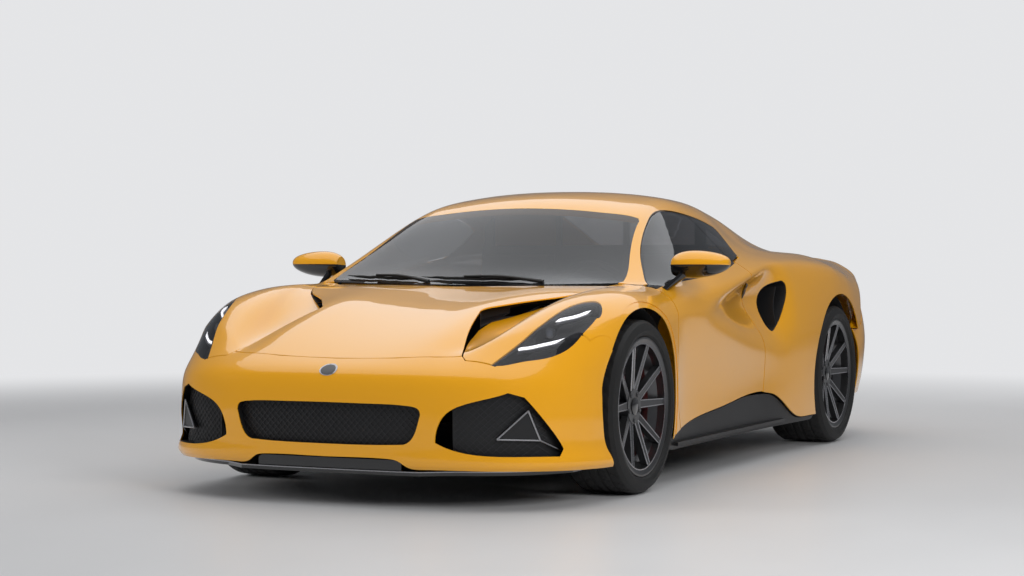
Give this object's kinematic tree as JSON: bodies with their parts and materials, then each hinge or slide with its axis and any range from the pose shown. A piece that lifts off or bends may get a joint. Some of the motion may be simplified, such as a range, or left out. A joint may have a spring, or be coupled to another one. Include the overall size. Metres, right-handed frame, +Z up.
{
  "type": "mid-engine two-seat coupe car",
  "caption": "Low mid-engine two-seat coupe with opening doors, bonnet and tailgate, steered front wheels and rolling wheels.",
  "frame": {"origin": "on the ground in the middle of the car, half way along its length", "axes": "+X to the left side of the car, -Y to the nose, +Y to the tail, +Z up"},
  "size_m": [2.0846, 4.4095, 1.225],
  "materials": {
    "paint": "gloss deep yellow with a pearl clear coat",
    "structure": "dark bonded aluminium",
    "black_plastic": "satin black",
    "lamp_black": "gloss black lamp bowl",
    "lamp_lens": "clear lens, lightly smoked",
    "glass": "dark tinted glass",
    "tail_lens": "red lens",
    "liner": "felted black",
    "leather": "black grained leather",
    "trim": "soft-touch black trim",
    "wheel_leather": "black leather",
    "engine_metal": "cast aluminium",
    "steel": "brushed stainless steel",
    "cast": "cast",
    "caliper_paint": "gloss red",
    "arm_steel": "black painted steel",
    "tyre": "matt black rubber",
    "rim_paint": "satin graphite",
    "disc_steel": "machined"
  },
  "bodies": {
    "body": {"tub": "structure", "front_bumper": "paint", "splitter": "black_plastic", "grilles": "black_plastic", "wings": "paint", "headlamps": "lamp_black", "headlamp_lenses": "lamp_lens", "windscreen": "glass", "roof": "paint", "quarter_glasses": "glass", "rear_quarters": "paint", "rear_bumper": "paint", "tail_lamps": "tail_lens", "diffuser": "black_plastic", "skirts": "black_plastic", "arch_liners": "liner", "seats": "leather", "dashboard": "trim", "console": "trim", "engine": "engine_metal", "exhaust": "steel", "knuckles_rear": "cast", "calipers_rear": "caliper_paint", "suspension_arms": "arm_steel", "bonnet_vents": "black_plastic", "side_intakes": "black_plastic"},
    "bonnet_lid": {"bonnet": "paint"},
    "tailgate_lid": {"tailgate": "paint", "tailgate_glass": "glass"},
    "steering": {"steering_wheel": "wheel_leather"},
    "door_left_body": {"door_left": "paint", "door_glass_left": "glass", "mirror_left": "paint"},
    "steer_left": {"knuckle_front_left": "cast", "caliper_front_left": "caliper_paint"},
    "wheel_front_left": {"tyre_front_left": "tyre", "rim_front_left": "rim_paint", "brake_disc_front_left": "disc_steel"},
    "wheel_rear_left": {"tyre_rear_left": "tyre", "rim_rear_left": "rim_paint", "brake_disc_rear_left": "disc_steel"},
    "door_right_body": {"door_right": "paint", "door_glass_right": "glass", "mirror_right": "paint"},
    "steer_right": {"knuckle_front_right": "cast", "caliper_front_right": "caliper_paint"},
    "wheel_front_right": {"tyre_front_right": "tyre", "rim_front_right": "rim_paint", "brake_disc_front_right": "disc_steel"},
    "wheel_rear_right": {"tyre_rear_right": "tyre", "rim_rear_right": "rim_paint", "brake_disc_rear_right": "disc_steel"}
  },
  "joints": [
    {"name": "bonnet_hinge", "type": "hinge", "parent": "body", "child": "bonnet_lid", "pos_m": [0, -1.044, 0.806], "axis": [-1, 0, 0], "range_deg": [0, 48]},
    {"name": "tailgate_hinge", "type": "hinge", "parent": "body", "child": "tailgate_lid", "pos_m": [0, 0.3594, 1.2165], "axis": [1, 0, 0], "range_deg": [0, 50]},
    {"name": "door_left_hinge", "type": "hinge", "parent": "body", "child": "door_left_body", "pos_m": [0.9095, -0.9333, 0.5], "axis": [0, 0, -1], "range_deg": [0, 62]},
    {"name": "door_right_hinge", "type": "hinge", "parent": "body", "child": "door_right_body", "pos_m": [-0.9095, -0.9333, 0.5], "axis": [0, 0, 1], "range_deg": [0, 62]},
    {"name": "steer_left_pivot", "type": "hinge", "parent": "body", "child": "steer_left", "pos_m": [0.7181, -1.3015, 0.33975], "axis": [0, 0, 1], "range_deg": [-33, 33]},
    {"name": "steer_right_pivot", "type": "hinge", "parent": "body", "child": "steer_right", "pos_m": [-0.7181, -1.3015, 0.33975], "axis": [0, 0, 1], "range_deg": [-33, 33]},
    {"name": "steering_column", "type": "hinge", "parent": "body", "child": "steering", "pos_m": [0.36479, -0.5, 0.735], "axis": [0, 0.9272, 0.3746], "range_deg": [-450, 450]},
    {"name": "wheel_front_left_spin", "type": "hinge", "parent": "steer_left", "child": "wheel_front_left", "pos_m": [0.79, -1.3015, 0.33975], "axis": [1, 0, 0], "continuous": true},
    {"name": "wheel_rear_left_spin", "type": "hinge", "parent": "body", "child": "wheel_rear_left", "pos_m": [0.79, 1.2735, 0.3425], "axis": [1, 0, 0], "continuous": true},
    {"name": "wheel_front_right_spin", "type": "hinge", "parent": "steer_right", "child": "wheel_front_right", "pos_m": [-0.79, -1.3015, 0.33975], "axis": [1, 0, 0], "continuous": true},
    {"name": "wheel_rear_right_spin", "type": "hinge", "parent": "body", "child": "wheel_rear_right", "pos_m": [-0.79, 1.2735, 0.3425], "axis": [1, 0, 0], "continuous": true}
  ],
  "couplings": [
    {"joint": "steer_right_pivot", "follows": "steer_left_pivot", "ratio": 1},
    {"joint": "steering_column", "follows": "steer_left_pivot", "ratio": 13.636}
  ]
}
